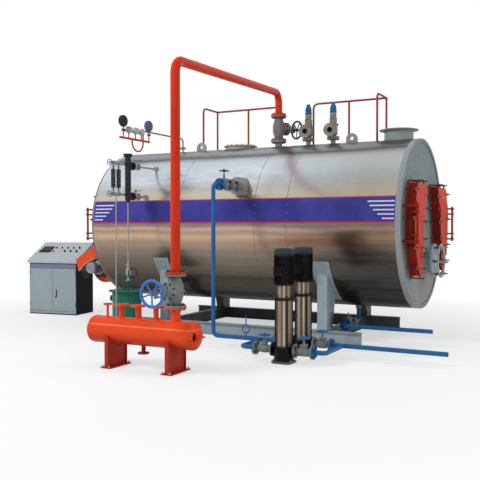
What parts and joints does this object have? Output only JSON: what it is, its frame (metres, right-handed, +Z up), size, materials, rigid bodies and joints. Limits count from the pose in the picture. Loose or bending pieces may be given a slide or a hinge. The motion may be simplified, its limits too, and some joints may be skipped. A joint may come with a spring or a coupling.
{
  "type": "horizontal fire-tube steam boiler plant",
  "caption": "Clad horizontal steam boiler on a skid with burner, console, steam header, feed pumps and hinged smoke-box doors.",
  "frame": {"origin": "ground level under the boiler axis, at the middle of the front saddle crossbeam", "axes": "+X from the burner end to the rear, -Y towards the pipework, +Z up"},
  "size_m": [8.0434, 5.2338, 3.7324],
  "materials": {
    "cladding": "satin",
    "plate_grey": "satin",
    "tube_steel": "matte",
    "nozzle_grey": "satin",
    "cover_tan": "satin",
    "rail_red": "satin",
    "skid_blue": "satin",
    "door_red": "satin",
    "burner_orange": "gloss",
    "motor_grey": "satin",
    "valve_silver": "satin",
    "valve_grey": "satin",
    "wheel_blue": "gloss",
    "steam_red": "gloss",
    "gauge_black": "satin",
    "switch_grey": "matte",
    "column_black": "satin",
    "bare_steel": "satin",
    "cooler_green": "satin",
    "pipe_blue": "gloss",
    "pump_black": "satin",
    "pump_steel": "satin",
    "console_grey": "satin",
    "desk_grey": "satin"
  },
  "bodies": {
    "root": {"boiler_shell": "cladding", "front_plate": "plate_grey", "rear_plate": "plate_grey", "fire_tubes": "tube_steel", "shell_nozzles": "nozzle_grey", "top_manhole": "cover_tan", "lifting_lugs": "nozzle_grey", "flue_outlet": "plate_grey", "handrails": "rail_red", "skid_frame": "skid_blue", "saddle_legs": "skid_blue", "door_davits": "door_red", "vent_port": "plate_grey", "burner_casing": "burner_orange", "burner_motor": "motor_grey", "safety_valves": "valve_silver", "main_steam_valve": "valve_grey", "steam_riser": "steam_red", "steam_run": "steam_red", "steam_drop": "steam_red", "header_valve": "valve_grey", "header_barrel": "steam_red", "header_heads": "steam_red", "header_legs": "steam_red", "gauge_manifold": "rail_red", "pressure_gauges": "gauge_black", "pressure_switches": "switch_grey", "water_column": "column_black", "gauge_glass": "column_black", "column_fittings": "bare_steel", "cooler_tank": "cooler_green", "cooler_lid": "cooler_green", "line_valves": "valve_grey", "feed_line": "pipe_blue", "pump_bases": "pump_black", "pump_columns": "pump_steel", "pump_motors": "pump_black", "suction_line": "pipe_blue", "small_handwheels": "wheel_blue", "blowdown_line": "pipe_blue", "console_cabinet": "console_grey", "console_desk": "desk_grey"},
    "rear_door_near": {"rear_door_near": "door_red"},
    "rear_door_far": {"rear_door_far": "door_red"},
    "front_door_near": {"front_door_near": "door_red"},
    "front_door_far": {"front_door_far": "door_red"},
    "main_steam_wheel": {"main_steam_wheel": "wheel_blue"},
    "header_wheel": {"header_wheel": "wheel_blue"},
    "console_door_left": {"console_door_left": "console_grey"},
    "console_door_right": {"console_door_right": "console_grey"}
  },
  "joints": [
    {"name": "rear_door_near_swing", "type": "hinge", "parent": "root", "child": "rear_door_near", "pos_m": [3.925, -1.075, 1.65], "axis": [0, 0, -1], "range_deg": [0, 110]},
    {"name": "rear_door_far_swing", "type": "hinge", "parent": "root", "child": "rear_door_far", "pos_m": [3.925, 1.075, 1.65], "axis": [0, 0, 1], "range_deg": [0, 110]},
    {"name": "front_door_near_swing", "type": "hinge", "parent": "root", "child": "front_door_near", "pos_m": [-1.425, -1.075, 1.65], "axis": [0, 0, 1], "range_deg": [0, 110]},
    {"name": "front_door_far_swing", "type": "hinge", "parent": "root", "child": "front_door_far", "pos_m": [-1.425, 1.075, 1.65], "axis": [0, 0, -1], "range_deg": [0, 110]},
    {"name": "main_steam_wheel_turn", "type": "hinge", "parent": "root", "child": "main_steam_wheel", "pos_m": [1.66, 0.30311, 3.139], "axis": [0.5, 0.866, 0], "continuous": true},
    {"name": "header_wheel_turn", "type": "hinge", "parent": "root", "child": "header_wheel", "pos_m": [1.875, -4, 0.905], "axis": [0, -1, 0], "continuous": true},
    {"name": "console_door_left_swing", "type": "hinge", "parent": "root", "child": "console_door_left", "pos_m": [-3.43694, -0.3014, 0.45], "axis": [0, 0, -1], "range_deg": [0, 110]},
    {"name": "console_door_right_swing", "type": "hinge", "parent": "root", "child": "console_door_right", "pos_m": [-2.48034, -0.16696, 0.45], "axis": [0, 0, 1], "range_deg": [0, 110]}
  ]
}
